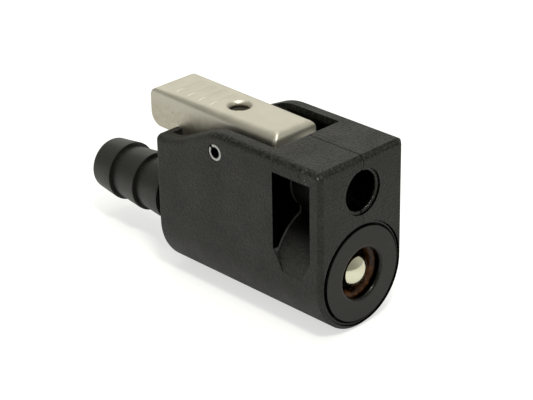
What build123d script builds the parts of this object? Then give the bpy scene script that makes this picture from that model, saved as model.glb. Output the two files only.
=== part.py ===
from build123d import *
import math
import os

# Plastic quick disconnect coupling for fuel hose, female half.
#
# Frame: the origin is the centre of the fuel port in the coupling face. +X points out of the face,
# Y runs across the body and +Z points up to the latch lever. Sizes are in millimetres and degrees.
# A "depth" is a distance behind the coupling face, so its X is minus the depth.

# Housing, outside
body_width = 22.0
body_length = 43.0
top_height = 23.6
dip_start = 27.0
dip_drop = 5.3
dip_angle = 25.0
dip_blend_radius = 11.6
face_chamfer = 0.8
face_edge_radius = 0.5
side_edge_radius = 1.2
rear_edge_radius = 0.6

# Housing, walls and slot
side_wall = 1.2
front_wall = 2.6
rear_wall = 1.8
roof_thickness = 3.1
rim_width = 2.8
block_length = 11.8
slot_start = 13.4
floor_height = 10.4
floor_thickness = 1.2
floor_start = 23.5

# Side windows, with slanted lower corners
window_rear = 11.9
window_knee_height = 5.3
window_sill_height = 1.2
window_front_slant = 2.0
window_rear_slant = 2.4

# Guide socket above the port, and the core that holds both bores
guide_height = 16.6
guide_bore_radius = 3.9
guide_recess_radius = 4.53
guide_recess_depth = 0.35
guide_mouth_round = 0.35
guide_wall = 2.6
waist_half_width = 4.1

# Latch lever
lever_length = 34.1
lever_width = 10.9
lever_depth = 7.8
lever_start = 16.4
lever_rise = 0.6
lever_plate = 1.5
lever_skirt = 1.5
lever_rear_wall = 1.6
lever_rear_top_radius = 1.75
lever_rear_low_radius = 2.8
lever_nose_radius = 1.5
lever_rear_edge_radius = 0.6
lever_front_edge_radius = 2.2
hook_thickness = 2.0
hook_lift = 0.4
hook_notch_radius = 3.9
hook_notch_drop = 1.35
thumb_hole_radius = 1.95
thumb_hole_round = 0.9

# Grip ribs on the lever
rib_count = 4
rib_start = 35.0
rib_pitch = 3.1
rib_length = 6.2
rib_width = 0.9
rib_height = 0.2
rib_round = 0.1

# Pivot
pivot_depth = 26.7
pivot_height = 19.5
pin_radius = 1.7
pin_bore_radius = 1.0
pin_slit = 0.6
pin_slit_angle = 135.0
pin_recess = 0.12
pin_hole_clearance = 0.02
lever_hole_clearance = 0.08
boss_radius = 2.4
boss_gap = 0.3

# Lever travel and its stops
press_angle = 12.0
press_stop_gap = 0.12
rest_stop_gap = 0.1
rest_stop_start = 19.0
rest_stop_length = 2.0
rest_stop_height = 2.8
rest_stop_half_gap = 4.4
rear_side_gap = 1.75

# Latch spring, upright under the lever's hole
latch_spring_depth = 31.3
latch_spring_radius = 2.1
latch_spring_wire = 0.6
latch_spring_turns = 6.5
latch_spring_gap = 0.05
spring_pocket_depth = 0.4
spring_pocket_clearance = 0.3

# Valve body: drum, barrel and hose stem in one
drum_radius = 10.2
drum_length = 11.0
drum_clearance = 0.04
drum_set_back = 0.35
drum_edge_round = 0.2
barrel_radius = 8.0
barrel_end = 44.5
barrel_clearance = 0.05
barrel_edge_radius = 0.8
stem_radius = 5.2
barb_count = 3
barb_start = 49.6
barb_pitch = 7.15
barb_radius = 6.1
barb_root_radius = 5.35
barb_land = 0.3
tip_length = 6.4
tip_round = 1.1
passage_radius = 3.4
passage_start = 19.0
chamber_radius = 5.9

# Front cap with the port lip
cap_length = 5.9
cap_rear_gap = 0.05
cap_radius = 9.55
cap_clearance = 0.05
cap_face_radius = 9.3
cap_face_length = 1.2
lip_thickness = 1.4
lip_bore_radius = 5.0
lip_round = 0.6
cap_bore_radius = 6.85

# Nipple seal, seat washer and poppet
seal_section_radius = 1.3
seal_front_gap = 0.1
seal_side_gap = 0.18
washer_length = 1.78
washer_front_gap = 0.05
washer_side_gap = 0.05
washer_bore_radius = 3.45
poppet_nose_radius = 2.9
poppet_nose_start = 0.3
poppet_dome_radius = 4.2
poppet_nose_round = 0.7
poppet_flange_radius = 5.2
poppet_flange_length = 1.4
poppet_flange_gap = 0.05
poppet_tail_radius = 2.0
poppet_tail_length = 4.6
valve_spring_radius = 4.6
valve_spring_wire = 0.6
valve_spring_turns = 5.0
valve_spring_gap = 0.05

# Both springs
wire_sides = 8

# Worked out from the sizes above
half_width = body_width / 2
dip_end = dip_start + dip_drop / math.tan(math.radians(dip_angle))
dip_height = top_height - dip_drop
cavity_half_width = half_width - side_wall
cavity_end = body_length - rear_wall
slot_half_width = half_width - rim_width
floor_top = floor_height + floor_thickness
guide_lobe_radius = guide_bore_radius + guide_wall
port_bore_radius = drum_radius + drum_clearance
window_top = top_height - roof_thickness
lever_top = top_height + lever_rise
lever_bottom = lever_top - lever_depth
lever_end = lever_start + lever_length
lever_half_width = lever_width / 2
lever_channel_half_width = lever_half_width - lever_skirt
lever_underside = lever_top - lever_plate
pin_hole_radius = pin_radius + pin_hole_clearance
skirt_below_pivot = pivot_height - lever_bottom
press_slope = math.radians(press_angle)
skirt_at_rear_wall = (
    pivot_height
    - skirt_below_pivot / math.cos(press_slope)
    - (body_length - pivot_depth) * math.tan(press_slope)
)
rear_wall_top = skirt_at_rear_wall - press_stop_gap
rest_stop_top = lever_bottom - rest_stop_gap
spring_seat_height = floor_top - spring_pocket_depth
counterbore_depth = cap_length + cap_rear_gap
seal_depth = lip_thickness + seal_front_gap + seal_section_radius
seal_ring_radius = cap_bore_radius - seal_side_gap - seal_section_radius
washer_start = seal_depth + seal_section_radius + washer_front_gap
washer_end = washer_start + washer_length
flange_start = washer_end + poppet_flange_gap
flange_end = flange_start + poppet_flange_length
hose_tip = barb_start + (barb_count - 1) * barb_pitch + tip_length
# How far a cutting solid runs past the face that it opens
past = 1.0


def block(start, end, half_span, bottom, top):
    """A box between two depths and two heights, centred across the body."""
    place = Pos(-(start + end) / 2, 0, (bottom + top) / 2)
    return place * Box(end - start, 2 * half_span, top - bottom)


def side_block(start, end, inner, outer, bottom, top):
    """A pair of boxes, one on each side of the body, between two distances from its middle."""
    near = Pos(-(start + end) / 2, -(inner + outer) / 2, (bottom + top) / 2)
    box = near * Box(end - start, outer - inner, top - bottom)
    return box + mirror(box, about=Plane.XZ)


def rod(radius, start, end, height=0.0):
    """A cylinder along X between two depths."""
    place = Pos(-(start + end) / 2, 0, height) * Rot(0, 90, 0)
    return place * Cylinder(radius, end - start)


def cross_rod(radius, length, depth, height):
    """A cylinder across the body, centred on its middle plane."""
    return Pos(-depth, 0, height) * Rot(90, 0, 0) * Cylinder(radius, length)


def turned(corners):
    """A solid turned about the port axis from the (depth, radius) corners of its section."""
    outline = Polyline([(-depth, 0, radius) for depth, radius in corners], close=True)
    return revolve(make_face(outline), Axis.X)


def coil(radius, wire, turns, length):
    """A compression spring standing on the origin along Z, of wire with a many-sided section."""
    rise = length - wire
    path = Helix(pitch=rise / turns, height=rise, radius=radius)
    section = Plane(path @ 0, z_dir=path % 0) * RegularPolygon(wire / 2, wire_sides)
    return Pos(0, 0, wire / 2) * sweep(section, path=path, is_frenet=True)


def body_side_view(drop):
    """The body's outline from the side, with the whole wall top lowered by a drop."""
    corners = [
        (0, -half_width),
        (0, top_height - drop),
        (-dip_start, top_height - drop),
        (-dip_end, dip_height - drop),
        (-body_length, dip_height - drop),
        (-body_length, -half_width),
    ]
    outline = make_face(Plane.XZ * Polyline(corners, close=True))
    bends = outline.vertices().filter_by(lambda v: 0 < -v.X < body_length)
    return fillet(bends, dip_blend_radius)


def u_section(half_span, length):
    """A straight U-shaped solid behind the coupling face: round below, flat sides above."""
    section = Circle(half_span) + Pos(0, top_height / 2) * Rectangle(2 * half_span, top_height)
    return extrude(Plane.YZ * section, -length)


def housing_blank():
    """The housing's outer form with its edges rounded and nothing cut into it."""
    side_form = extrude(body_side_view(0), half_width, both=True)
    blank = u_section(half_width, body_length) & side_form
    top_sides = blank.edges().filter_by(
        lambda e: abs(e.center().Y) > half_width - 0.01 and e.center().Z > dip_height - 0.01
    )
    blank = fillet(top_sides, side_edge_radius)
    face = blank.faces().sort_by(Axis.X)[-1]
    top_edge = face.edges().filter_by(Axis.Y).sort_by(Axis.Z)[-1]
    blank = chamfer(top_edge, face_chamfer)
    face = blank.faces().sort_by(Axis.X)[-1]
    low_edges = face.edges().filter_by(lambda e: e.center().Z < dip_height)
    blank = fillet(low_edges, face_edge_radius)
    rear_face = blank.faces().sort_by(Axis.X)[0]
    return fillet(rear_face.edges(), rear_edge_radius)


def front_core():
    """The figure-eight core between the windows, round about the port and the guide socket."""
    core = rod(half_width, 0, block_length)
    core += rod(guide_lobe_radius, 0, block_length, guide_height)
    core += block(0, block_length, waist_half_width, 0, guide_height)
    return core


def side_windows():
    """The space that both side windows open, outside the figure-eight core."""
    corners = [
        (-front_wall, window_top),
        (-window_rear, window_top),
        (-window_rear, window_knee_height),
        (-window_rear + window_rear_slant, window_sill_height),
        (-front_wall - window_front_slant, window_sill_height),
        (-front_wall, window_knee_height),
    ]
    outline = make_face(Plane.XZ * Polyline(corners, close=True))
    return extrude(outline, half_width + past, both=True) - front_core()


def latch_cavity():
    """The hollow behind the front block, under a rim that follows the wall top."""
    hollow = u_section(cavity_half_width, body_length) & extrude(
        body_side_view(roof_thickness), half_width, both=True
    )
    hollow &= block(block_length, cavity_end, half_width, -half_width, top_height)
    slot_bottom = dip_height - roof_thickness - past
    slot = block(slot_start, cavity_end, slot_half_width, slot_bottom, top_height + past)
    rear_gate = block(
        cavity_end - past,
        body_length + past,
        lever_half_width + rear_side_gap,
        rear_wall_top,
        top_height + past,
    )
    return hollow + slot + rear_gate


def lever_floor():
    """The shelf under the lever, with a shallow pocket for the latch spring."""
    shelf = block(floor_start, cavity_end, cavity_half_width, floor_height, floor_top)
    pocket_radius = latch_spring_radius + latch_spring_wire / 2 + spring_pocket_clearance
    pocket = Cylinder(pocket_radius, 2 * spring_pocket_depth)
    return shelf - Pos(-latch_spring_depth, 0, floor_top) * pocket


def pivot_bosses():
    """A boss inside each side wall that keeps the lever central on its pin."""
    boss = cross_rod(boss_radius, 2 * cavity_half_width, pivot_depth, pivot_height)
    boss_reach = boss_radius + past
    gap = block(
        pivot_depth - boss_reach,
        pivot_depth + boss_reach,
        lever_half_width + boss_gap,
        pivot_height - boss_reach,
        pivot_height + boss_reach,
    )
    return boss - gap


def rest_stops():
    """A ledge inside each side wall that the lever's skirt lies on at rest."""
    return side_block(
        rest_stop_start,
        rest_stop_start + rest_stop_length,
        rest_stop_half_gap,
        cavity_half_width,
        rest_stop_top - rest_stop_height,
        rest_stop_top,
    )


def make_housing():
    """The moulded housing with its bores, windows, slot and inner ledges."""
    housing = housing_blank() - latch_cavity()
    housing += lever_floor() + pivot_bosses() + rest_stops()
    housing -= side_windows()
    housing -= rod(port_bore_radius, -past, drum_length)
    housing -= rod(cavity_half_width, 0, block_length)
    housing -= rod(barrel_radius + barrel_clearance, cavity_end - past, body_length + past)
    housing -= rod(guide_bore_radius, -past, block_length + past, guide_height)
    housing -= rod(guide_recess_radius, -past, guide_recess_depth, guide_height)
    mouth = housing.edges().filter_by(GeomType.CIRCLE).filter_by(
        lambda e: -e.center().X < guide_mouth_round + past
        and abs(e.radius - guide_bore_radius) < 0.01
    )
    housing = fillet(mouth, guide_mouth_round)
    return housing - cross_rod(pin_hole_radius, body_width + past, pivot_depth, pivot_height)


def make_valve_body():
    """The turned body behind the face: drum, barrel, barbed stem and the passage through them."""
    outline = [
        (drum_set_back, drum_radius),
        (drum_length, drum_radius),
        (drum_length, barrel_radius),
        (barrel_end, barrel_radius),
        (barrel_end, stem_radius),
        (barb_start, stem_radius),
    ]
    for barb in range(barb_count):
        rim = barb_start + barb * barb_pitch
        is_last = barb == barb_count - 1
        outline.append((rim, barb_radius))
        outline.append((rim + barb_land, barb_radius))
        outline.append((hose_tip if is_last else rim + barb_pitch, barb_root_radius))
    outline += [
        (hose_tip, passage_radius),
        (passage_start, passage_radius),
        (passage_start, chamber_radius),
        (counterbore_depth, chamber_radius),
        (counterbore_depth, cap_radius + cap_clearance),
        (drum_set_back, cap_radius + cap_clearance),
    ]
    body = turned(outline)
    rings = body.edges().filter_by(GeomType.CIRCLE)
    tip_edge = rings.filter_by(
        lambda e: -e.center().X > hose_tip - 0.01 and e.radius > passage_radius + 0.01
    )
    body = fillet(tip_edge, tip_round)
    rings = body.edges().filter_by(GeomType.CIRCLE)
    barrel_edge = rings.filter_by(
        lambda e: abs(-e.center().X - barrel_end) < 0.01 and e.radius > stem_radius + 0.01
    )
    body = fillet(barrel_edge, barrel_edge_radius)
    drum_edge = body.edges().filter_by(GeomType.CIRCLE).filter_by(
        lambda e: -e.center().X < drum_set_back + 0.01 and e.radius > drum_radius - 0.01
    )
    return fillet(drum_edge, drum_edge_round)


def make_front_cap():
    """The round cap in the drum, whose lip is the port and holds the nipple seal."""
    cap = turned(
        [
            (0, cap_face_radius),
            (cap_face_length, cap_face_radius),
            (cap_face_length, cap_radius),
            (cap_length, cap_radius),
            (cap_length, cap_bore_radius),
            (lip_thickness, cap_bore_radius),
            (lip_thickness, lip_bore_radius),
            (0, lip_bore_radius),
        ]
    )
    mouth = cap.edges().filter_by(GeomType.CIRCLE).filter_by(
        lambda e: e.center().X > -0.01 and e.radius < lip_bore_radius + 0.01
    )
    return fillet(mouth, lip_round)


def make_nipple_seal():
    """The ring that seals round the nipple, just behind the lip."""
    return Pos(-seal_depth, 0, 0) * Rot(0, 90, 0) * Torus(seal_ring_radius, seal_section_radius)


def make_seat_washer():
    """The flat ring that the poppet's flange closes against."""
    outer = rod(cap_bore_radius - washer_side_gap, washer_start, washer_end)
    return outer - rod(washer_bore_radius, washer_start - past, washer_end + past)


def make_poppet():
    """The valve poppet: a domed stem, a flange and a short spring guide."""
    stem = rod(poppet_nose_radius, poppet_nose_start, flange_start + poppet_flange_length / 2)
    dome_start = rod(poppet_nose_radius, poppet_nose_start, poppet_nose_start + poppet_dome_radius)
    dome = Pos(-poppet_nose_start - poppet_dome_radius, 0, 0) * Sphere(poppet_dome_radius)
    poppet = stem - (dome_start - dome)
    dome_edge = poppet.edges().filter_by(GeomType.CIRCLE).sort_by(Axis.X)[-1]
    poppet = fillet(dome_edge, poppet_nose_round)
    poppet += rod(poppet_flange_radius, flange_start, flange_end)
    poppet += rod(poppet_tail_radius, flange_start, flange_end + poppet_tail_length)
    return poppet


def make_poppet_spring():
    """The spring that closes the poppet, from its flange back to the end of the chamber."""
    start = flange_end + valve_spring_gap
    length = passage_start - valve_spring_gap - start
    spring = coil(valve_spring_radius, valve_spring_wire, valve_spring_turns, length)
    return Pos(-start, 0, 0) * Rot(0, -90, 0) * spring


def corner_section(depth, radius):
    """What a rounding of one radius takes off the lever's +Y top corner, as a face at a depth."""
    plane = Plane(origin=(-depth, 0, 0), x_dir=(0, 1, 0), z_dir=(1, 0, 0))
    centre_y = lever_half_width - radius
    centre_z = lever_top - radius
    reach = radius + past
    square = Pos(centre_y + reach / 2, centre_z + reach / 2) * Rectangle(reach, reach)
    return plane * (square - Pos(centre_y, centre_z) * Circle(radius))


def lever_edge_rounding():
    """The two strips that round the lever's long top edges, wider towards the nose."""
    strip = loft(
        [
            corner_section(lever_end + past, lever_rear_edge_radius),
            corner_section(lever_start - past, lever_front_edge_radius),
        ]
    )
    return strip + mirror(strip, about=Plane.XZ)


def lever_side_form():
    """The lever's outline from the side, as a solid as wide as the lever."""
    middle = Pos(-(lever_start + lever_end) / 2, (lever_top + lever_bottom) / 2)
    outline = Plane.XZ * middle * Rectangle(lever_length, lever_depth)
    corners = outline.vertices()
    outline = fillet(corners.group_by(Axis.Z)[-1].sort_by(Axis.X)[0], lever_rear_top_radius)
    corners = outline.vertices()
    outline = fillet(corners.group_by(Axis.Z)[0].sort_by(Axis.X)[0], lever_rear_low_radius)
    corners = outline.vertices()
    outline = fillet(corners.group_by(Axis.Z)[-1].sort_by(Axis.X)[-1], lever_nose_radius)
    return extrude(outline, lever_half_width, both=True)


def lever_channel():
    """The hollow inside the lever, open below, with a rounded rear end."""
    channel = block(
        lever_start + hook_thickness,
        lever_end - lever_rear_wall,
        lever_channel_half_width,
        lever_bottom - past,
        lever_underside,
    )
    rear_top = channel.edges().filter_by(Axis.Y).group_by(Axis.Z)[-1].sort_by(Axis.X)[0]
    return fillet(rear_top, lever_rear_top_radius - lever_plate)


def grip_rib(depth):
    """One low rib with round ends, across the rear of the lever's top."""
    outline = Pos(-depth, 0, lever_top - rib_height) * SlotOverall(rib_length, rib_width, rotation=90)
    rib = extrude(outline, 2 * rib_height)
    return fillet(rib.faces().sort_by(Axis.Z)[-1].edges(), rib_round)


def make_lever():
    """The cast latch lever: a channel with a notched hook wall, a round hole and grip ribs."""
    lever = lever_side_form() - lever_edge_rounding() - lever_channel()
    lever -= block(
        lever_start - past,
        lever_start + hook_thickness,
        lever_channel_half_width,
        lever_bottom - past,
        lever_bottom + hook_lift,
    )
    notch_height = lever_bottom - hook_notch_drop
    lever -= rod(
        hook_notch_radius, lever_start - past, lever_start + hook_thickness, notch_height
    )
    lever -= Pos(-latch_spring_depth, 0, lever_top) * Cylinder(thumb_hole_radius, 4 * lever_plate)
    hole_edge = lever.edges().filter_by(GeomType.CIRCLE).filter_by(
        lambda e: abs(e.radius - thumb_hole_radius) < 0.01
    )
    lever = fillet(hole_edge.sort_by(Axis.Z)[-1], thumb_hole_round)
    for rib in range(rib_count):
        lever += grip_rib(rib_start + rib * rib_pitch)
    hole_radius = pin_radius + lever_hole_clearance
    return lever - cross_rod(hole_radius, lever_width + past, pivot_depth, pivot_height)


def make_pivot_pin():
    """The rolled pin that the lever turns on, with its slit towards the upper rear."""
    length = body_width - 2 * pin_recess
    pin = Cylinder(pin_radius, length) - Cylinder(pin_bore_radius, length + past)
    slit = Pos(pin_radius / 2, 0, 0) * Box(pin_radius + past, pin_slit, length + past)
    pin -= Rot(0, 0, pin_slit_angle) * slit
    return Pos(-pivot_depth, 0, pivot_height) * Rot(90, 0, 0) * pin


def make_latch_spring():
    """The upright spring that holds the lever's rear end up."""
    start = spring_seat_height + latch_spring_gap
    length = lever_underside - latch_spring_gap - start
    spring = coil(latch_spring_radius, latch_spring_wire, latch_spring_turns, length)
    return Pos(-latch_spring_depth, 0, start) * spring


pieces = {
    "housing": make_housing,
    "valve_body": make_valve_body,
    "front_cap": make_front_cap,
    "nipple_seal": make_nipple_seal,
    "seat_washer": make_seat_washer,
    "poppet": make_poppet,
    "poppet_spring": make_poppet_spring,
    "lever": make_lever,
    "pivot_pin": make_pivot_pin,
    "latch_spring": make_latch_spring,
}

os.makedirs("parts", exist_ok=True)
for name, make_piece in pieces.items():
    export_step(make_piece(), f"parts/{name}.step")
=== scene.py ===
"""Looks of the plastic quick disconnect coupling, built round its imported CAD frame.

The moulded body, its valve and its latch lever are carried over from the frame and dressed here.
The two wound springs are modelled here from round wire, at the places and lengths of the frame's
own, and two small posts close the rear wall up to the lever's sides.
Everything is in metres: +X points out of the coupling face and +Z up to the lever.
"""

import logging
import math
from dataclasses import dataclass, field
from enum import Enum

import bpy
from mathutils import Matrix, Vector


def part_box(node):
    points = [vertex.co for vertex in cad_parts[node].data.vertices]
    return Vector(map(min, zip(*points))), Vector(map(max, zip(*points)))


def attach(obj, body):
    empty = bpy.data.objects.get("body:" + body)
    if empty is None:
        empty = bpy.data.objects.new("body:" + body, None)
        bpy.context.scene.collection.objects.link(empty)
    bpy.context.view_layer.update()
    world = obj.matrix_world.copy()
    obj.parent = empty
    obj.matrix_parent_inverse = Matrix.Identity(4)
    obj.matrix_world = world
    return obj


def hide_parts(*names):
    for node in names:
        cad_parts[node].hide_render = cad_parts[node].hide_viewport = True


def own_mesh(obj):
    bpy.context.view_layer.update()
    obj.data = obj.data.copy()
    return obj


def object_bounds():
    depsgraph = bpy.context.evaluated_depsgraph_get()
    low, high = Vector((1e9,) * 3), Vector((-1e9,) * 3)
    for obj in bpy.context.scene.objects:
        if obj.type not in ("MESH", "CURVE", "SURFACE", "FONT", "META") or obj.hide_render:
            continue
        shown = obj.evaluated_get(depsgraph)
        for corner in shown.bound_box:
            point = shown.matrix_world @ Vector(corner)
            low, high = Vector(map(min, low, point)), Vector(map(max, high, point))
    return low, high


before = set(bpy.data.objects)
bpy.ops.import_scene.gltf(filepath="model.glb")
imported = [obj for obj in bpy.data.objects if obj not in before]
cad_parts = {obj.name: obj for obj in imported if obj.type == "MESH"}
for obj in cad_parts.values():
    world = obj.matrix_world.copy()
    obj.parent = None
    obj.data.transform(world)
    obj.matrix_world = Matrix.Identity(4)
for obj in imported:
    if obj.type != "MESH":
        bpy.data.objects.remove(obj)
CAD_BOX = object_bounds()

MM = 0.001
SMOOTH_ANGLE = math.radians(40)
LOG = logging.getLogger("coupling")

Colour = tuple[float, float, float]
Point = tuple[float, float, float]
Socket = bpy.types.NodeSocket


class Axis(Enum):
    """The axes of the frame, by their order in a place."""

    X = 0
    Y = 1
    Z = 2


class Ease(Enum):
    """How a mapped number runs from one end of its span to the other."""

    STRAIGHT = "LINEAR"
    SMOOTH = "SMOOTHSTEP"


class Way(Enum):
    """The direction that a spring is wound along, as the turn that lays local Z on it."""

    UP = Matrix.Identity(4)
    BACK = Matrix.Rotation(math.radians(-90), 4, "Y")


# ---------------------------------------------------------------------------------------------
# Spaces that a finish can mark
# ---------------------------------------------------------------------------------------------


@dataclass(frozen=True)
class Bore:
    """A round hole along X, or the ring round its core, from just behind the coupling face.

    The mark begins at the depth `start`, is whole at `full`, and goes over `fade` past `end`.
    """

    height: float
    radius: float
    start: float
    full: float
    core: float = 0.0
    end: float = 14 * MM
    edge: float = 0.03 * MM
    fade: float = 1 * MM


@dataclass(frozen=True)
class Recess:
    """A space between two depths and two heights, the same on both sides of the middle plane.

    The mark is nothing at the distance `side` from that plane and whole at `deep`, where its
    strength is `most`. It goes over `fade` just under `top`.
    """

    front: float
    rear: float
    side: float
    deep: float
    top: float
    fade: float
    most: float = 1.0
    low: float = 1.2 * MM
    edge: float = 0.08 * MM


@dataclass(frozen=True)
class PaintedShadeWell:
    """A hole down into a piece along Z, with painted shade that deepens from its mouth to the height
    `dark`.
    """

    centre: Point
    radius: float
    mouth: float
    dark: float
    factor: float = 0.08
    outer_edge: float = 0.15 * MM
    inner_edge: float = 0.1 * MM


# ---------------------------------------------------------------------------------------------
# Nodes
# ---------------------------------------------------------------------------------------------


class Wiring:
    """A node tree, with short ways to add, set and join its nodes."""

    def __init__(self, tree: bpy.types.NodeTree) -> None:
        """Take the tree of a material or of the world, and empty it."""
        self.tree = tree
        self.tree.nodes.clear()

    def add(self, kind: str, **settings: object) -> bpy.types.Node:
        """Add one node and set its plain properties.

        Args:
            kind: The node's type name.
            settings: Property names and values.

        Returns:
            The new node.
        """
        node = self.tree.nodes.new(kind)
        for setting, value in settings.items():
            setattr(node, setting, value)
        return node

    def join(self, source: Socket, target: Socket) -> None:
        """Link one socket to another."""
        self.tree.links.new(source, target)

    def feed(self, value: Colour | float | Socket, target: Socket) -> None:
        """Link a socket to another one, or set it to a plain colour or number.

        Args:
            value: The socket, colour or number.
            target: The socket that takes it.
        """
        if isinstance(value, Socket):
            self.join(value, target)
        elif isinstance(value, tuple):
            target.default_value = (*value, 1.0)
        else:
            target.default_value = value

    def maths(self, operation: str, *values: float | Socket) -> Socket:
        """Work out one number from others.

        Args:
            operation: The Math node's operation.
            values: The numbers that it takes, in its own order.

        Returns:
            The result.
        """
        node = self.add("ShaderNodeMath", operation=operation)
        for value, target in zip(values, node.inputs):
            self.feed(value, target)
        return node.outputs[0]

    def times(self, first: Socket, second: float | Socket) -> Socket:
        """Multiply two numbers."""
        return self.maths("MULTIPLY", first, second)

    def sum(self, first: Socket, second: Socket, part: float) -> Socket:
        """Add a part of the second number to the whole of the first."""
        return self.maths("MULTIPLY_ADD", second, part, first)

    def most(self, marks: list[Socket]) -> Socket:
        """Give the strongest of several marks.

        Args:
            marks: The marks, at least one.

        Returns:
            The strongest of them at each point.
        """
        strongest = marks[0]
        for mark in marks[1:]:
            strongest = self.maths("MAXIMUM", strongest, mark)
        return strongest

    def vector(self, operation: str, first: Socket, second: Point | None = None) -> bpy.types.Node:
        """Add one node that works on a vector.

        Args:
            operation: The Vector Math node's operation.
            first: The vector.
            second: The fixed vector that it is taken with, if the operation needs one.

        Returns:
            The node, whose first output is a vector and whose output Value is a number.
        """
        node = self.add("ShaderNodeVectorMath", operation=operation)
        self.join(first, node.inputs[0])
        if second is not None:
            node.inputs[1].default_value = second
        return node

    def span(
        self,
        source: Socket,
        ends: tuple[float, float],
        onto: tuple[float, float],
        ease: Ease = Ease.STRAIGHT,
    ) -> Socket:
        """Map a number from one span onto another, and hold it there past the ends.

        Args:
            source: The number.
            ends: The two ends of the span that it comes from.
            onto: What they become.
            ease: How it runs between them.

        Returns:
            The mapped number.
        """
        node = self.add("ShaderNodeMapRange", clamp=True, interpolation_type=ease.value)
        for title, value in zip(("From Min", "From Max", "To Min", "To Max"), (*ends, *onto)):
            node.inputs[title].default_value = value
        self.join(source, node.inputs["Value"])
        return node.outputs["Result"]

    def ramp(self, source: Socket, low: float, high: float) -> Socket:
        """Ease a number from 0 at one value to 1 at another, above or below the first."""
        return self.span(source, (low, high), (0.0, 1.0), Ease.SMOOTH)

    def blend(self, share: Socket, first: float | Socket, second: float | Socket) -> Socket:
        """Mix two numbers by a share.

        Args:
            share: 0 for the first number, 1 for the second.
            first: A number or a socket.
            second: A number or a socket.

        Returns:
            The mixed number.
        """
        node = self.add("ShaderNodeMix")
        self.join(share, node.inputs["Factor"])
        # A Mix node's own number sockets are inputs 2 and 3 and output 0.
        self.feed(first, node.inputs[2])
        self.feed(second, node.inputs[3])
        return node.outputs[0]

    def mix(self, share: Socket, first: Colour | Socket, second: Colour | Socket) -> Socket:
        """Mix two colours by a share.

        Args:
            share: 0 for the first colour, 1 for the second.
            first: A colour or a colour socket.
            second: A colour or a colour socket.

        Returns:
            The mixed colour.
        """
        node = self.add("ShaderNodeMix", data_type="RGBA")
        self.join(share, node.inputs["Factor"])
        # A Mix node's own colour sockets are inputs 6 and 7 and output 2.
        self.feed(first, node.inputs[6])
        self.feed(second, node.inputs[7])
        return node.outputs[2]


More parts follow.
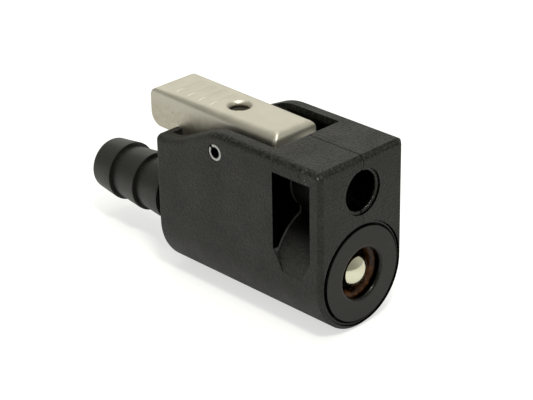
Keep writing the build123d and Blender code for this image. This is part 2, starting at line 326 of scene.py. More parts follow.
class NodeSheet(Wiring):
    """A material's node tree, with the patterns and marks that the finishes are made of."""

    NOISE_MIDDLE = 0.5
    NOISE_ROUGHNESS = 0.55

    def __init__(self, name: str) -> None:
        """Start an empty material whose nodes read the piece's own Object coordinates.

        Args:
            name: The material's name.
        """
        self.material = bpy.data.materials.new(name)
        self.material.use_nodes = True
        super().__init__(self.material.node_tree)
        self.output = self.add("ShaderNodeOutputMaterial")
        self.place = self.add("ShaderNodeTexCoord").outputs["Object"]

    def surface(self, shader: bpy.types.Node) -> None:
        """Make a shader the material's surface."""
        self.join(shader.outputs[0], self.output.inputs["Surface"])

    def skin(self, tone: Socket, rough: Socket, normal: Socket | None = None) -> bpy.types.Node:
        """Add the surface's shader and join what a finish varies over the piece.

        Args:
            tone: The colour.
            rough: The roughness.
            normal: The bent normal, if the finish has one.

        Returns:
            The shader, for the values that are the same all over.
        """
        shader = self.add("ShaderNodeBsdfPrincipled")
        self.join(tone, shader.inputs["Base Color"])
        self.join(rough, shader.inputs["Roughness"])
        if normal:
            self.join(normal, shader.inputs["Normal"])
        self.surface(shader)
        return shader

    def noise(self, size: float, detail: float = 2.0, stretch: Point = (1.0, 1.0, 1.0)) -> Socket:
        """Add soft noise whose blotches are about one size.

        Args:
            size: The size of a blotch, in metres.
            detail: How many finer layers it has.
            stretch: The scale along each axis, below 1 to draw the blotches out.

        Returns:
            The noise, from 0 to 1.
        """
        mapping = self.add("ShaderNodeMapping")
        mapping.inputs["Scale"].default_value = stretch
        self.join(self.place, mapping.inputs["Vector"])
        node = self.add("ShaderNodeTexNoise", noise_dimensions="3D")
        node.inputs["Scale"].default_value = 1.0 / size
        node.inputs["Detail"].default_value = detail
        node.inputs["Roughness"].default_value = self.NOISE_ROUGHNESS
        self.join(mapping.outputs["Vector"], node.inputs["Vector"])
        return node.outputs["Fac"]

    def spread(self, noise: Socket, low: float, high: float, window: float = 0.25) -> Socket:
        """Map noise onto a range of numbers, read as far as the window either side of its middle."""
        ends = (self.NOISE_MIDDLE - window, self.NOISE_MIDDLE + window)
        return self.span(noise, ends, (low, high))

    def swing(self, noise: Socket, middle: float, most: float) -> Socket:
        """Let a number swing with noise, by the most at each end, round its middle value."""
        return self.spread(noise, middle - most, middle + most)

    def bump(self, height: Socket, depth: float) -> Socket:
        """Turn a height into a bent normal.

        Args:
            height: The height, from 0 to 1.
            depth: What a height of 1 stands for, in metres.

        Returns:
            The normal.
        """
        node = self.add("ShaderNodeBump")
        node.inputs["Distance"].default_value = depth
        node.inputs["Strength"].default_value = 1.0
        self.join(height, node.inputs["Height"])
        return node.outputs["Normal"]

    def along(self, axis: Axis) -> Socket:
        """Give the place of a point along one axis.

        Args:
            axis: The axis.

        Returns:
            The place, in metres.
        """
        parts = self.add("ShaderNodeSeparateXYZ")
        self.join(self.place, parts.inputs[0])
        return parts.outputs[axis.value]

    def off_middle(self) -> Socket:
        """Give the distance of a point from the middle plane, on either side."""
        return self.maths("ABSOLUTE", self.along(Axis.Y))

    def line(self, axis: Axis, at: float, half_width: float) -> Socket:
        """Draw a soft line, 1 on the plane across an axis at one place and 0 half its width away."""
        offset = self.maths("SUBTRACT", self.along(axis), at)
        return self.ramp(self.maths("ABSOLUTE", offset), half_width, 0.0)

    def reach(self, centre: Point, across: Point = (1.0, 1.0, 1.0)) -> Socket:
        """Measure the distance from a point, or from an axis through it.

        Args:
            centre: The point, in metres.
            across: 1 for each axis that the distance is measured on, 0 for one that it ignores.

        Returns:
            The distance, in metres.
        """
        moved = self.vector("SUBTRACT", self.place, centre)
        flat = self.vector("MULTIPLY", moved.outputs[0], across)
        return self.vector("LENGTH", flat.outputs[0]).outputs["Value"]

    def in_bore(self, bore: Bore) -> Socket:
        """Mark what lies inside a round hole along X, from a little behind the face.

        Args:
            bore: The hole.

        Returns:
            1 inside the hole, 0 on the face round it.
        """
        distance = self.reach((0.0, 0.0, bore.height), across=(0.0, 1.0, 1.0))
        mark = self.ramp(distance, bore.radius + bore.edge, bore.radius - bore.edge)
        if bore.core > 0:
            past_core = self.ramp(distance, bore.core - bore.edge, bore.core + bore.edge)
            mark = self.times(mark, past_core)
        depth = self.along(Axis.X)
        mark = self.times(mark, self.ramp(depth, -bore.start, -bore.full))
        return self.times(mark, self.ramp(depth, -bore.end - bore.fade, -bore.end))

    def in_recess(self, recess: Recess) -> Socket:
        """Mark what lies inside a space, more strongly further in.

        Args:
            recess: The space.

        Returns:
            The recess's own strength inside it, 0 outside.
        """
        depth = self.along(Axis.X)
        height = self.along(Axis.Z)
        limits = (
            (depth, -recess.front, -recess.front - recess.edge),
            (depth, -recess.rear, -recess.rear + recess.edge),
            (height, recess.low, recess.low + recess.edge),
            (height, recess.top, recess.top - recess.fade),
        )
        mark = self.ramp(self.off_middle(), recess.side, recess.deep)
        for source, outside, inside in limits:
            mark = self.times(mark, self.ramp(source, outside, inside))
        return self.times(mark, recess.most)

    def in_well(self, well: PaintedShadeWell) -> Socket:
        """Mark what lies down a hole along Z, more strongly further down.

        Args:
            well: The hole.

        Returns:
            1 deep in the hole, 0 on the face round it.
        """
        distance = self.reach(well.centre, across=(1.0, 1.0, 0.0))
        inside = self.ramp(distance, well.radius + well.outer_edge, well.radius - well.inner_edge)
        return self.times(inside, self.ramp(self.along(Axis.Z), well.mouth, well.dark))


def shaded(colour: Colour, factor: float) -> Colour:
    """Give a colour made lighter or darker by a factor."""
    return tuple(min(channel * factor, 1.0) for channel in colour)


# ---------------------------------------------------------------------------------------------
# Finishes
# ---------------------------------------------------------------------------------------------


BODY_BLACK: Colour = (0.008, 0.008, 0.007)
VALVE_BLACK: Colour = (0.007, 0.007, 0.006)
SCUFF_GREY: Colour = (0.22, 0.22, 0.20)
EDGE_HIGHLIGHT_GREY: Colour = (0.05, 0.05, 0.05)
HIGHLIGHT_WHITE: Colour = (1.0, 1.0, 0.95)


@dataclass(frozen=True)
class Seam:
    """A dark parting line on the middle plane, sunk by some grain depths, with painted shade from `low`
    up.
    """

    half_width: float
    factor: float
    grain_depths: float
    low: float
    full: float


@dataclass(frozen=True)
class PaintedPitShade:
    """Painted shade in the pits of the grain, from nothing at the height `low` to `strength` at `full`.
    """

    strength: float
    low: float
    full: float


@dataclass(frozen=True)
class Scuff:
    """A small patch of pale flecks, and dents of some grain depths, where the plastic was knocked."""

    centre: Point
    radius: float
    fleck_size: float = 0.45 * MM
    fleck_levels: tuple[float, float] = (0.58, 0.63)
    dent_levels: tuple[float, float] = (0.44, 0.38)
    grain_depths: float = 2.0


@dataclass(frozen=True)
class MouldedPlastic:
    """Dark plastic with a fine moulded grain, soft cloudy differences in tone, and painted shade and
    highlights.
    """

    name: str
    colour: Colour
    painted_shade_bores: tuple[Bore, ...]
    painted_shade_recesses: tuple[Recess, ...] = ()
    painted_shade_factor: float = 0.1
    roughness: float = 0.5
    roughness_swing: float = 0.07
    gloss: float = 0.40
    grain: float = 0.42 * MM
    grain_depth: float = 0.05 * MM
    grain_window: float = 0.16
    speckle: float = 0.75
    light_speckle: float = 3.0
    cloud_size: float = 6 * MM
    cloud_share: float = 0.35
    cloud_factor: float = 1.35
    seam: Seam | None = None
    pits: PaintedPitShade | None = None
    smooth_bores: tuple[Bore, ...] = ()
    smooth_roughness: float = 0.2
    painted_edge_highlights: tuple[Recess, ...] = ()
    scuffs: tuple[Scuff, ...] = ()

    def material(self) -> bpy.types.Material:
        """Build the plastic's nodes.

        Returns:
            The material.
        """
        sheet = NodeSheet(self.name)
        grain = sheet.noise(self.grain, detail=3.0)
        clouds = sheet.noise(self.cloud_size)
        tone = self.mottled(sheet, grain, clouds)
        height = grain
        # Painted shade: the bores, the recesses, the seam on top and the grain's pits on top.
        shades = [sheet.in_bore(bore) for bore in self.painted_shade_bores]
        shades += [sheet.in_recess(recess) for recess in self.painted_shade_recesses]
        if self.seam:
            line = sheet.line(Axis.Y, 0.0, self.seam.half_width)
            tone = sheet.mix(line, tone, shaded(self.colour, self.seam.factor))
            height = sheet.sum(height, line, -self.seam.grain_depths)
            # Painted shade along the seam on the top face.
            on_top = sheet.ramp(sheet.along(Axis.Z), self.seam.low, self.seam.full)
            shades.append(sheet.times(line, on_top))
        for scuff in self.scuffs:
            tone, height = self.knocked(sheet, scuff, tone, height)
        # Painted highlight along some edges, lighter than the plastic.
        for edge in self.painted_edge_highlights:
            tone = sheet.mix(sheet.in_recess(edge), tone, EDGE_HIGHLIGHT_GREY)
        # Painted shade in the grain's pits on the top face.
        if self.pits:
            painted_pit_shade = sheet.spread(grain, self.pits.strength, 0.0, self.grain_window)
            on_top = sheet.ramp(sheet.along(Axis.Z), self.pits.low, self.pits.full)
            shades.append(sheet.times(on_top, painted_pit_shade))
        rough = sheet.swing(clouds, self.roughness, self.roughness_swing)
        for bore in self.smooth_bores:
            rough = sheet.blend(sheet.in_bore(bore), rough, self.smooth_roughness)
        # The painted shade darkens the colour where its marks are strongest.
        shade = sheet.most(shades)
        tone = sheet.mix(shade, tone, shaded(self.colour, self.painted_shade_factor))
        shader = sheet.skin(tone, rough, sheet.bump(height, self.grain_depth))
        shader.inputs["Specular IOR Level"].default_value = self.gloss
        # The painted shade also makes the surface a dark metal, which reflects almost nothing and keeps
        # the walls deep inside black.
        sheet.join(shade, shader.inputs["Metallic"])
        return sheet.material

    def mottled(self, sheet: NodeSheet, grain: Socket, clouds: Socket) -> Socket:
        """Speckle the colour along the grain, and lighten it softly in the clouds.

        Args:
            sheet: The material's nodes.
            grain: The fine noise.
            clouds: The broad noise.

        Returns:
            The mottled colour.
        """
        dark = shaded(self.colour, 1 - self.speckle)
        light = shaded(self.colour, 1 + self.light_speckle * self.speckle)
        speckled = sheet.mix(sheet.spread(grain, 0.0, 1.0, self.grain_window), dark, light)
        cloudy = sheet.spread(clouds, 0.0, self.cloud_share)
        return sheet.mix(cloudy, speckled, shaded(self.colour, self.cloud_factor))

    def knocked(
        self, sheet: NodeSheet, scuff: Scuff, tone: Socket, height: Socket
    ) -> tuple[Socket, Socket]:
        """Add a scuff's flecks to the colour and its dents to the grain.

        Args:
            sheet: The material's nodes.
            scuff: The scuff.
            tone: The colour without it.
            height: The grain's height without it.

        Returns:
            The colour and the height with it.
        """
        near = sheet.ramp(sheet.reach(scuff.centre), scuff.radius, scuff.radius / 2)
        knocks = sheet.noise(scuff.fleck_size)
        flecks = sheet.times(near, sheet.ramp(knocks, *scuff.fleck_levels))
        dents = sheet.times(near, sheet.ramp(knocks, *scuff.dent_levels))
        return sheet.mix(flecks, tone, SCUFF_GREY), sheet.sum(height, dents, -scuff.grain_depths)


@dataclass(frozen=True)
class PaintedLightPart:
    """A part of a piece with painted shade (factor below 1) or painted light (factor above 1) on its
    colour.
    """

    space: Recess
    factor: float


@dataclass(frozen=True)
class RibHighlight:
    """A short bright line across a piece: a painted highlight on the near end of a grip rib."""

    at: float
    side: float
    half_width: float = 0.38 * MM
    half_length: float = 1.5 * MM

    def paint_highlight(self, sheet: NodeSheet, tone: Socket) -> Socket:
        """Lay the painted highlight over a colour.

        Args:
            sheet: The material's nodes.
            tone: The colour without it.

        Returns:
            The colour with it.
        """
        across = sheet.line(Axis.X, self.at, self.half_width)
        mark = sheet.times(across, sheet.line(Axis.Y, self.side, self.half_length))
        return sheet.mix(mark, tone, HIGHLIGHT_WHITE)


@dataclass(frozen=True)
class SideMottle:
    """A warm, darker mottling on the sides of a piece, stronger towards the bottom, with a few dark
    pits.
    """

    side: float
    colour: Colour
    low: float
    high: float
    edge: float = 0.4 * MM
    bloom_size: float = 1.1 * MM
    bloom_window: float = 0.2
    pit_size: float = 0.55 * MM
    pit_levels: tuple[float, float] = (0.70, 0.75)
    pit_factor: float = 0.25

    def mottle_sides(self, sheet: NodeSheet, tone: Socket) -> Socket:
        """Lay the mottling and its pits over the sides, more strongly towards the bottom.

        Args:
            sheet: The material's nodes.
            tone: The colour without it.

        Returns:
            The colour with it.
        """
        on_side = sheet.ramp(sheet.off_middle(), self.side - self.edge, self.side)
        place = sheet.times(on_side, sheet.ramp(sheet.along(Axis.Z), self.high, self.low))
        bloom = sheet.spread(sheet.noise(self.bloom_size, detail=4.0), 0.0, 1.0, self.bloom_window)
        tone = sheet.mix(sheet.times(place, bloom), tone, self.colour)
        pits = sheet.ramp(sheet.noise(self.pit_size), *self.pit_levels)
        return sheet.mix(sheet.times(place, pits), tone, shaded(self.colour, self.pit_factor))


@dataclass(frozen=True)
class SatinMetal:
    """Plated or bare metal with a fine drawn grain, and the painted shade, painted light and painted
    highlights given for it.
    """

    name: str
    colour: Colour
    roughness: float = 0.36
    roughness_swing: float = 0.06
    grain: float = 0.3 * MM
    grain_depth: float = 0.002 * MM
    grain_share: float = 0.3
    grain_factor: float = 0.9
    stretch: Point = (0.25, 1.0, 1.0)
    cloud_size: float = 5 * MM
    tone: float = 0.05
    well: PaintedShadeWell | None = None
    painted_light_parts: tuple[PaintedLightPart, ...] = ()
    rib_highlights: tuple[RibHighlight, ...] = ()
    side_mottle: SideMottle | None = None

    def material(self) -> bpy.types.Material:
        """Build the metal's nodes.

        Returns:
            The material.
        """
        sheet = NodeSheet(self.name)
        grain = sheet.noise(self.grain, detail=3.0, stretch=self.stretch)
        clouds = sheet.noise(self.cloud_size)
        dark = shaded(self.colour, 1 - self.tone)
        light = shaded(self.colour, 1 + self.tone)
        cloudy = sheet.mix(sheet.spread(clouds, 0.0, 1.0), dark, light)
        drawn = sheet.spread(grain, 0.0, self.grain_share)
        tone = sheet.mix(drawn, cloudy, shaded(self.colour, self.grain_factor))
        # Painted shade down the well.
        if self.well:
            tone = sheet.mix(sheet.in_well(self.well), tone, shaded(self.colour, self.well.factor))
        # Painted shade and painted light on parts of the piece.
        for part in self.painted_light_parts:
            tone = sheet.mix(sheet.in_recess(part.space), tone, shaded(self.colour, part.factor))
        # Painted highlights on the ribs.
        for line in self.rib_highlights:
            tone = line.paint_highlight(sheet, tone)
        if self.side_mottle:
            tone = self.side_mottle.mottle_sides(sheet, tone)
        rough = sheet.swing(clouds, self.roughness, self.roughness_swing)
        shader = sheet.skin(tone, rough, sheet.bump(grain, self.grain_depth))
        shader.inputs["Metallic"].default_value = 1.0
        return sheet.material


@dataclass(frozen=True)
class PinEndSteel:
    """Bright steel on a narrow ring at the pin's ends, dark on the edges either side of it."""

    name: str
    colour: Colour
    axis: Point
    inner: float
    outer: float
    edge: float = 0.08 * MM
    edge_factor: float = 0.06
    wear_size: float = 0.5 * MM
    wear_factor: float = 0.6
    roughness: float = 0.3
    roughness_rise: float = 0.15

    def material(self) -> bpy.types.Material:
        """Build the steel's nodes.

        Returns:
            The material.
        """
        sheet = NodeSheet(self.name)
        distance = sheet.reach(self.axis, across=(1.0, 0.0, 1.0))
        past_bore = sheet.ramp(distance, self.inner - self.edge, self.inner + self.edge)
        in_rim = sheet.ramp(distance, self.outer + self.edge, self.outer - self.edge)
        wear = sheet.noise(self.wear_size, detail=3.0)
        worn = sheet.spread(wear, 0.0, 1.0)
        bright = sheet.mix(worn, shaded(self.colour, self.wear_factor), self.colour)
        band = sheet.times(past_bore, in_rim)
        tone = sheet.mix(band, shaded(self.colour, self.edge_factor), bright)
        rough = sheet.spread(wear, self.roughness, self.roughness + self.roughness_rise)
        shader = sheet.skin(tone, rough)
        shader.inputs["Metallic"].default_value = 1.0
        return sheet.material


@dataclass(frozen=True)
class SealRubber:
    """Brown fuel-proof rubber with a slight bloom and a damp sheen."""

    name: str
    colour: Colour
    roughness: float = 0.34
    roughness_swing: float = 0.1
    gloss: float = 0.30
    cloud_size: float = 0.9 * MM
    cloud_window: float = 0.15
    dark_factor: float = 0.25
    bloom_factor: float = 1.5
    skin_size: float = 0.4 * MM
    skin_depth: float = 0.11 * MM

    def material(self) -> bpy.types.Material:
        """Build the rubber's nodes.

        Returns:
            The material.
        """
        sheet = NodeSheet(self.name)
        clouds = sheet.noise(self.cloud_size, detail=3.0)
        dark = shaded(self.colour, self.dark_factor)
        bloom = shaded(self.colour, self.bloom_factor)
        tone = sheet.mix(sheet.spread(clouds, 0.0, 1.0, self.cloud_window), dark, bloom)
        rough = sheet.swing(clouds, self.roughness, self.roughness_swing)
        skin = sheet.noise(self.skin_size, detail=3.0)
        shader = sheet.skin(tone, rough, sheet.bump(skin, self.skin_depth))
        shader.inputs["Specular IOR Level"].default_value = self.gloss
        return sheet.material


Finish = MouldedPlastic | SatinMetal | PinEndSteel | SealRubber

GUIDE_HEIGHT = 16.6 * MM
FIRST_RIB = 35.45 * MM
RIB_STEP = 3.1 * MM
RIB_COUNT = 4
RIB_END = -2.6 * MM

HOUSING_PLASTIC = MouldedPlastic(
    "housing black",
    BODY_BLACK,
    grain_depth=0.20 * MM,
    # Painted shade in the grain's pits, and along the seam, on the top face.
    pits=PaintedPitShade(strength=0.42, low=21.9 * MM, full=22.9 * MM),
    seam=Seam(half_width=0.19 * MM, factor=0.15, grain_depths=3.0, low=22.9 * MM, full=23.2 * MM),
    painted_shade_bores=(
        # Painted shade in the fuel port and the guide socket, and on the wall of the shallow step round
        # the socket.
        Bore(height=0.0, radius=10.30 * MM, start=0.03 * MM, full=0.2 * MM),
        Bore(height=GUIDE_HEIGHT, radius=4.35 * MM, start=0.5 * MM, full=1.1 * MM),
        Bore(height=GUIDE_HEIGHT, radius=4.62 * MM, start=0.02 * MM, full=0.08 * MM, core=4.45 * MM),
    ),
    smooth_bores=(Bore(height=GUIDE_HEIGHT, radius=4.6 * MM, start=0.0, full=0.08 * MM),),
    painted_shade_recesses=(
        # Painted shade on the core's sides in the windows, in the hollow behind the core, and in the
        # slot in the top.
        Recess(
            front=2.6 * MM, rear=11.35 * MM, side=10.8 * MM, deep=5.5 * MM,
            top=20.52 * MM, fade=0.05 * MM, most=0.85,
        ),
        Recess(
            front=11.75 * MM, rear=26 * MM, side=10.97 * MM, deep=10.9 * MM,
            top=20.6 * MM, fade=0.1 * MM,
        ),
        Recess(
            front=13.35 * MM, rear=27 * MM, side=8.3 * MM, deep=8.22 * MM,
            top=23.0 * MM, fade=1.6 * MM,
        ),
    ),
    painted_edge_highlights=(
        # A painted highlight on the core's rear edge, which shows in the windows.
        Recess(
            front=11.35 * MM, rear=11.78 * MM, side=10.9 * MM, deep=10.7 * MM,
            top=20.6 * MM, fade=0.1 * MM,
        ),
    ),
    scuffs=(
        Scuff(centre=(-4.1 * MM, -11.0 * MM, 22.1 * MM), radius=1.8 * MM),
        Scuff(centre=(-0.5 * MM, -10.8 * MM, 22.8 * MM), radius=0.7 * MM),
    ),
)
VALVE_PLASTIC = MouldedPlastic(
    "valve black",
    VALVE_BLACK,
    roughness=0.42,
    gloss=0.48,
    grain=0.3 * MM,
    grain_depth=0.03 * MM,
    speckle=0.5,
    painted_shade_bores=(
        # Painted shade inside the drum, and on the barrel as far as the housing's rear wall.
        Bore(height=0.0, radius=9.80 * MM, start=0.1 * MM, full=0.3 * MM, end=12 * MM),
        Bore(height=0.0, radius=10.4 * MM, start=11.0 * MM, full=11.2 * MM, end=42 * MM),
    ),
)
CAP_PLASTIC = MouldedPlastic(
    "cap black",
    BODY_BLACK,
    roughness=0.26,
    gloss=0.33,
    grain_depth=0.006 * MM,
    speckle=0.3,
    # Painted shade in the cap's hole and on the cap behind its face.
    painted_shade_bores=(Bore(height=0.0, radius=10.0 * MM, start=0.06 * MM, full=0.75 * MM),),
)
LEVER_METAL = SatinMetal(
    "lever champagne",
    (0.62, 0.595, 0.515),
    roughness=0.46,
    tone=0.08,
    # Painted shade down the thumb hole.
    well=PaintedShadeWell(centre=(-31.3 * MM, 0.0, 0.0), radius=2.2 * MM, mouth=23.7 * MM, dark=23.0 * MM),
    painted_light_parts=(
        # Painted shade on the hollow underside, and painted light that makes the nose brighter.
        PaintedLightPart(
            Recess(
                front=18.2 * MM, rear=48.7 * MM, side=4.7 * MM, deep=4.4 * MM,
                top=22.85 * MM, fade=0.15 * MM,
            ),
            factor=0.3,
        ),
        PaintedLightPart(
            Recess(
                front=16.2 * MM, rear=17.3 * MM, side=5.9 * MM, deep=5.4 * MM,
                top=24.1 * MM, fade=1.0 * MM,
            ),
            factor=1.5,
        ),
    ),
    # Painted highlights on the near ends of the grip ribs.
    rib_highlights=tuple(RibHighlight(at=-(FIRST_RIB + RIB_STEP * rib), side=RIB_END) for rib in range(RIB_COUNT)),
    side_mottle=SideMottle(side=5.4 * MM, colour=(0.52, 0.47, 0.37), low=20.5 * MM, high=23.0 * MM),
)
POPPET_METAL = SatinMetal(
    "poppet brass", (0.95, 0.91, 0.70), roughness=0.16, tone=0.12, grain_depth=0.0005 * MM
)
WIRE_METAL = SatinMetal("spring wire", (0.95, 0.76, 0.40), roughness=0.22, stretch=(1.0, 1.0, 1.0))
PIN_METAL = PinEndSteel(
    "pin steel", (0.62, 0.62, 0.60), axis=(-26.7 * MM, 0.0, 19.5 * MM), inner=1.14 * MM, outer=1.56 * MM
)
NIPPLE_RUBBER = SealRubber("nipple seal brown", (0.055, 0.021, 0.006), roughness=0.14)
SEAT_RUBBER = SealRubber("seat brown", (0.022, 0.010, 0.004), roughness=0.36)


# ---------------------------------------------------------------------------------------------
# Modelling helpers
# ---------------------------------------------------------------------------------------------


def dress(node: str, finish: Finish) -> None:
    """Give a node of the frame a finish in place of its plain one.

    Args:
        node: The node's name.
        finish: The finish that it takes.
    """
    material = finish.material()
    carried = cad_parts[node]
    for slot in carried.material_slots:
        slot.material = material
    LOG.info("dressed %s as %s", node, finish.name)


def start_primitive() -> None:
    """Leave edit mode and deselect everything, before a primitive is added."""
    if bpy.context.object and bpy.context.object.mode != "OBJECT":
        bpy.ops.object.mode_set(mode="OBJECT")
    bpy.ops.object.select_all(action="DESELECT")


def settle(piece: bpy.types.Object) -> None:
    """Put a finished piece's place into its mesh, so that its object sits at the origin.

    Args:
        piece: The piece.
    """
    bpy.ops.object.select_all(action="DESELECT")
    piece.select_set(True)
    bpy.context.view_layer.objects.active = piece
    bpy.ops.object.transform_apply(location=True, rotation=True, scale=True)


@dataclass
class CoilSpring:
    """A compression spring of round wire, with a closed turn at each end.

    The real spring shortens by `travel` over the range of its joint; this one keeps its length.
    A closed turn rises by `closeness` wire thicknesses.
    """

    name: str
    node: str
    centre: Vector
    way: Way
    length: float
    radius: float
    wire: float
    turns: float
    joint: str
    travel: float
    closed_turns: float = 1.0
    closeness: float = 1.04
    steps: int = 48
    sides: int = 14

    def height_at(self, turn: float) -> float:
        """Give how far the wire's centre has risen after some turns.

        Args:
            turn: The number of turns from the first end.

        Returns:
            The height above the first end's wire centre, in metres.
        """
        rise = self.length - self.wire
        close_rise = self.closed_turns * self.wire * self.closeness
        free_turns = self.turns - 2 * self.closed_turns
        free_rise = rise - 2 * close_rise
        if turn <= self.closed_turns:
            return turn / self.closed_turns * close_rise
        if turn >= self.turns - self.closed_turns:
            return rise - (self.turns - turn) / self.closed_turns * close_rise
        share = (turn - self.closed_turns) / free_turns
        return close_rise + free_rise * share

    def build(self) -> bpy.types.Object:
        """Wind the wire from one circle, extruded round the axis step by step.

        Returns:
            The finished spring.
        """
        start_primitive()
        bpy.ops.mesh.primitive_circle_add(
            vertices=self.sides,
            radius=self.wire / 2,
            location=(self.radius, 0, self.wire / 2),
            rotation=(math.radians(90), 0, 0),
        )
        piece = bpy.context.object
        piece.name = self.name
        settle(piece)
        bpy.ops.object.mode_set(mode="EDIT")
        bpy.ops.mesh.select_all(action="SELECT")
        bpy.ops.mesh.edge_face_add()
        count = int(self.turns * self.steps)
        angle = math.tau / self.steps
        # Without a window the rotation runs the other way, so its angle is negative.
        for step in range(count):
            lift = self.height_at((step + 1) / self.steps) - self.height_at(step / self.steps)
            bpy.ops.mesh.extrude_region_move(TRANSFORM_OT_translate={"value": (0, 0, lift)})
            bpy.ops.transform.rotate(
                value=-angle, orient_axis="Z", orient_type="GLOBAL", center_override=(0, 0, 0)
            )
        bpy.ops.mesh.select_all(action="SELECT")
        bpy.ops.mesh.normals_make_consistent(inside=False)
        bpy.ops.object.mode_set(mode="OBJECT")
        piece.matrix_world = Matrix.Translation(self.centre) @ self.way.value
        settle(piece)
        bpy.ops.object.shade_smooth_by_angle(angle=SMOOTH_ANGLE)
        return piece

    def place(self, finish: SatinMetal, slot: str) -> None:
        """Build the spring, dress it and hand it to the body in place of the frame's own.

        Args:
            finish: The wire's finish.
            slot: Not used.
        """
        piece = self.build()
        piece.data.materials.clear()
        piece.data.materials.append(finish.material())
        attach(piece, "body")
        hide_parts(self.node)
        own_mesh(piece)
        LOG.info("wound %s, %d faces", self.name, len(piece.data.polygons))


# ---------------------------------------------------------------------------------------------
# The coupling's sub-assemblies
# ---------------------------------------------------------------------------------------------


@dataclass
class BodyShell:
    """The moulded housing with the pivot pin through it, and the posts that close its rear wall.

    A post stands from `lever_gap` to `gate_gap` off the lever's side.
    """

    housing: str = "housing"
    pin: str = "pivot_pin"
    wall: float = 1.8 * MM
    post_bottom: float = 12.72 * MM
    post_top: float = 18.3 * MM
    lever_gap: float = 0.3 * MM
    gate_gap: float = 1.77 * MM
    edge_radius: float = 0.6 * MM
    edge_segments: int = 6
    touch: float = 0.01 * MM

    def dress(self) -> None:
        """Give the housing its grained plastic and the pin its steel."""
        dress(self.housing, HOUSING_PLASTIC)
        dress(self.pin, PIN_METAL)

    def build(self) -> None:
        """Stand a post on each side of the lever's tail, so that the rear wall closes up to it."""
        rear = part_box(self.housing)[0][0]
        lever_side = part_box("lever")[1][1]
        inner = lever_side + self.lever_gap
        outer = lever_side + self.gate_gap
        for name, side in (("rear_post_near", -1), ("rear_post_far", 1)):
            start_primitive()
            bpy.ops.mesh.primitive_cube_add(
                size=1.0,
                location=(
                    rear + self.wall / 2,
                    side * (inner + outer) / 2,
                    (self.post_bottom + self.post_top) / 2,
                ),
                scale=(self.wall, outer - inner, self.post_top - self.post_bottom),
            )
            post = bpy.context.object
            post.name = name
            settle(post)
            self.round_top(post, rear)
            post.data.materials.append(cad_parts[self.housing].material_slots[0].material)
            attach(post, "body")
            LOG.info("stood %s, %d faces", name, len(post.data.polygons))

    def round_top(self, post: bpy.types.Object, rear: float) -> None:
        """Round a post's upper rear edge like the wall beside it.

        Args:
            post: The post.
            rear: The X of the housing's rear face.
        """
        bpy.ops.object.mode_set(mode="EDIT")
        bpy.ops.mesh.select_all(action="DESELECT")
        bpy.ops.object.mode_set(mode="OBJECT")
        for edge in post.data.edges:
            ends = [post.data.vertices[index].co for index in edge.vertices]
            at_rear = all(abs(end.x - rear) < self.touch for end in ends)
            on_top = all(abs(end.z - self.post_top) < self.touch for end in ends)
            edge.select = at_rear and on_top
        bpy.ops.object.mode_set(mode="EDIT")
        bpy.ops.mesh.select_mode(type="EDGE")
        bpy.ops.mesh.bevel(offset=self.edge_radius, segments=self.edge_segments)
        bpy.ops.object.mode_set(mode="OBJECT")
        bpy.ops.object.shade_smooth_by_angle(angle=SMOOTH_ANGLE)


@dataclass
class ValveFront:
    """The valve body and what shows in its fuel port: the cap, two rubber rings and the poppet."""

    wire: float = 0.6 * MM
    turns: float = 6.0
    poppet_travel: float = 3.5 * MM

    def dress(self) -> None:
        """Dress the port's pieces and the valve body behind them."""
        dress("valve_body", VALVE_PLASTIC)
        dress("front_cap", CAP_PLASTIC)
        dress("nipple_seal", NIPPLE_RUBBER)
        dress("seat_washer", SEAT_RUBBER)
        dress("poppet", POPPET_METAL)

    def build(self) -> None:
        """Wind the poppet's spring where the frame has it."""
        low, high = (Vector(corner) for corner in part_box("poppet_spring"))
        spring = CoilSpring(
            name="poppet_spring_wound",
            node="poppet_spring",
            centre=Vector((high.x, 0, 0)),
            way=Way.BACK,
            length=high.x - low.x,
            radius=(high.y - low.y - self.wire) / 2,
            wire=self.wire,
            turns=self.turns,
            joint="poppet_slide",
            travel=self.poppet_travel,
        )
        spring.place(WIRE_METAL, "spring_steel")


@dataclass
class LatchLever:
    """The cast lever and the upright spring under it, whose top shows through its hole.

    In the real coupling the spring's top goes down by `lever_drop` when the lever is pressed all the
    way; the wound spring here keeps its length.
    """

    wire: float = 0.6 * MM
    turns: float = 8.0
    lever_drop: float = 1.7 * MM
    weld_reach: float = 0.001 * MM
    skin_size: float = 0.18 * MM
    soften_share: float = 0.5
    soften_passes: int = 14

    def dress(self) -> None:
        """Give the lever its satin plating, and soften its edges as plating over a casting does."""
        dress("lever", LEVER_METAL)
        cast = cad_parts["lever"]
        weld = cast.modifiers.new("weld", "WELD")
        weld.merge_threshold = self.weld_reach
        skin = cast.modifiers.new("skin", "REMESH")
        skin.mode = "VOXEL"
        skin.voxel_size = self.skin_size
        skin.use_smooth_shade = True
        soften = cast.modifiers.new("soften", "SMOOTH")
        soften.factor = self.soften_share
        soften.iterations = self.soften_passes

    def build(self) -> None:
        """Wind the latch spring where the frame has it."""
        low, high = (Vector(corner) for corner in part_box("latch_spring"))
        spring = CoilSpring(
            name="latch_spring_wound",
            node="latch_spring",
            centre=Vector(((low.x + high.x) / 2, 0, low.z)),
            way=Way.UP,
            length=high.z - low.z,
            radius=(high.y - low.y - self.wire) / 2,
            wire=self.wire,
            turns=self.turns,
            joint="lever_press",
            travel=self.lever_drop,
        )
        spring.place(WIRE_METAL, "spring_steel")


# ---------------------------------------------------------------------------------------------
# Studio
# ---------------------------------------------------------------------------------------------


WARM_WHITE: Colour = (1.0, 0.99, 0.91)


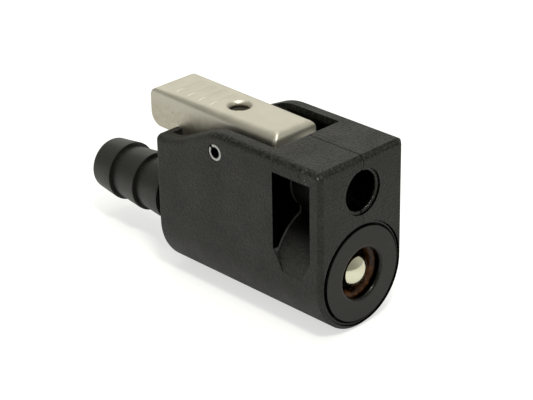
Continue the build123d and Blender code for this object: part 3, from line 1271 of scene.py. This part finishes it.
@dataclass(frozen=True)
class SoftLamp:
    """One square soft box, aimed at the coupling."""

    name: str
    place: Point
    size: float
    power: float
    colour: Colour = WARM_WHITE

    def light(self, target: Vector) -> None:
        """Hang the lamp and aim it.

        Args:
            target: The point that it faces.
        """
        data = bpy.data.lights.new(self.name, "AREA")
        data.shape = "SQUARE"
        data.size = self.size
        data.energy = self.power
        data.color = self.colour
        lamp = bpy.data.objects.new(self.name, data)
        lamp.location = self.place
        aim = target - Vector(self.place)
        lamp.rotation_euler = aim.to_track_quat("-Z", "Y").to_euler()
        bpy.context.scene.collection.objects.link(lamp)


@dataclass
class Studio:
    """A pale floor, soft lamps and an even surround, which gloss sees darker on the camera's side."""

    floor_size: float = 6.0
    surround: float = 0.45
    surround_tint: Colour = (1.0, 1.0, 0.9)
    camera_side: Point = (0.715, -0.699, 0.0)
    gloss_near: float = 0.20
    gloss_far: float = 0.50
    backdrop: float = 1.0
    floor_colour: Colour = (0.50, 0.50, 0.50)
    floor_glow: float = 0.62
    floor_gloss_glow: float = 0.29
    floor_far_share: float = 0.45
    floor_fade: float = 0.09
    lamps: list[SoftLamp] = field(
        default_factory=lambda: [
            SoftLamp("overhead", (-0.02, 0.02, 0.60), size=0.40, power=1.2),
            SoftLamp("back left", (-0.42, 0.40, 0.34), size=0.50, power=0.47),
            SoftLamp("high key", (0.22, -0.16, 0.55), size=0.09, power=1.8),
        ]
    )

    def world(self) -> None:
        """Light evenly from all round, with a plain pale background beyond the floor's edge."""
        world = bpy.data.worlds.new("surround")
        bpy.context.scene.world = world
        world.use_nodes = True
        nodes = Wiring(world.node_tree)
        path = nodes.add("ShaderNodeLightPath")
        seen = nodes.maths(
            "MAXIMUM", path.outputs["Is Camera Ray"], path.outputs["Is Transmission Ray"]
        )
        direction = nodes.add("ShaderNodeTexCoord").outputs["Generated"]
        facing = nodes.vector("DOT_PRODUCT", direction, self.camera_side).outputs["Value"]
        gloss = nodes.span(facing, (-1.0, 1.0), (self.gloss_far, self.gloss_near))
        level = nodes.blend(path.outputs["Is Glossy Ray"], self.surround, gloss)
        even = nodes.add("ShaderNodeBackground")
        nodes.feed(self.surround_tint, even.inputs["Color"])
        nodes.join(level, even.inputs["Strength"])
        plain = nodes.add("ShaderNodeBackground")
        plain.inputs["Strength"].default_value = self.backdrop
        both = nodes.add("ShaderNodeMixShader")
        nodes.join(seen, both.inputs["Fac"])
        nodes.join(even.outputs[0], both.inputs[1])
        nodes.join(plain.outputs[0], both.inputs[2])
        output = nodes.add("ShaderNodeOutputWorld")
        nodes.join(both.outputs[0], output.inputs["Surface"])

    def floor(self) -> None:
        """Lay the floor under the housing, which glows for the eye and, more weakly, for gloss."""
        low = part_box("housing")[0]
        start_primitive()
        bpy.ops.mesh.primitive_plane_add(size=self.floor_size, location=(0, 0, low[2]))
        floor = bpy.context.object
        floor.name = "floor"
        settle(floor)
        sheet = NodeSheet("floor white")
        diffuse = sheet.add("ShaderNodeBsdfDiffuse")
        sheet.feed(self.floor_colour, diffuse.inputs["Color"])
        path = sheet.add("ShaderNodeLightPath")
        glossy = sheet.times(path.outputs["Is Glossy Ray"], self.floor_gloss_glow)
        # The reflected glow falls off along X and Y together, from the barb to the coupling face.
        along = sheet.sum(sheet.along(Axis.X), sheet.along(Axis.Y), 1.0)
        fade = sheet.span(along, (-self.floor_fade, self.floor_fade), (1.0, self.floor_far_share))
        reflected = sheet.times(glossy, fade)
        level = sheet.sum(reflected, path.outputs["Is Camera Ray"], self.floor_glow)
        glow = sheet.add("ShaderNodeEmission")
        sheet.join(level, glow.inputs["Strength"])
        both = sheet.add("ShaderNodeAddShader")
        sheet.join(diffuse.outputs[0], both.inputs[0])
        sheet.join(glow.outputs[0], both.inputs[1])
        sheet.surface(both)
        floor.data.materials.append(sheet.material)

    def build(self, target: Vector) -> None:
        """Build the whole studio.

        Args:
            target: The point that the lamps face.
        """
        self.world()
        self.floor()
        for lamp in self.lamps:
            lamp.light(target)
        bpy.context.scene.view_settings.view_transform = "Standard"
        LOG.info("studio has %d lamps", len(self.lamps))


@dataclass
class ProductCamera:
    """A long lens above the corner between the coupling's face and its near side."""

    azimuth: float = 45.645
    elevation: float = 26.394
    roll: float = -1.124
    distance: float = 333.08 * MM
    lens: float = 119.26
    sensor: float = 36.0
    nearest: float = 10 * MM
    pivot: Vector = field(default_factory=lambda: Vector((-22 * MM, 0, 5 * MM)))
    slide_right: float = -1.788 * MM
    slide_up: float = 2.283 * MM

    def build(self) -> None:
        """Add the camera and make it the scene's own."""
        turn = math.radians(self.azimuth)
        tilt = math.radians(self.elevation)
        back = Vector(
            (math.sin(turn) * math.cos(tilt), -math.cos(turn) * math.cos(tilt), math.sin(tilt))
        )
        right = Vector((math.cos(turn), math.sin(turn), 0))
        above = back.cross(right)
        target = self.pivot + right * self.slide_right + above * self.slide_up
        roll = math.radians(self.roll)
        rolled_right = right * math.cos(roll) + above * math.sin(roll)
        rolled_above = above * math.cos(roll) - right * math.sin(roll)
        data = bpy.data.cameras.new("product camera")
        data.lens = self.lens
        data.sensor_width = self.sensor
        data.clip_start = self.nearest
        camera = bpy.data.objects.new("product camera", data)
        axes = Matrix((rolled_right, rolled_above, back)).transposed().to_4x4()
        camera.matrix_world = Matrix.Translation(target + back * self.distance) @ axes
        bpy.context.scene.collection.objects.link(camera)
        bpy.context.scene.camera = camera


def main() -> None:
    """Build the coupling's looks, the studio and the camera, in that order."""
    logging.basicConfig(level=logging.INFO, format="%(name)s: %(message)s")
    shell = BodyShell()
    shell.dress()
    shell.build()
    valve = ValveFront()
    valve.dress()
    valve.build()
    lever = LatchLever()
    lever.dress()
    lever.build()
    middle = (Vector(CAD_BOX[0]) + Vector(CAD_BOX[1])) / 2
    Studio().build(middle)
    ProductCamera().build()


if __name__ == "__main__":
    main()
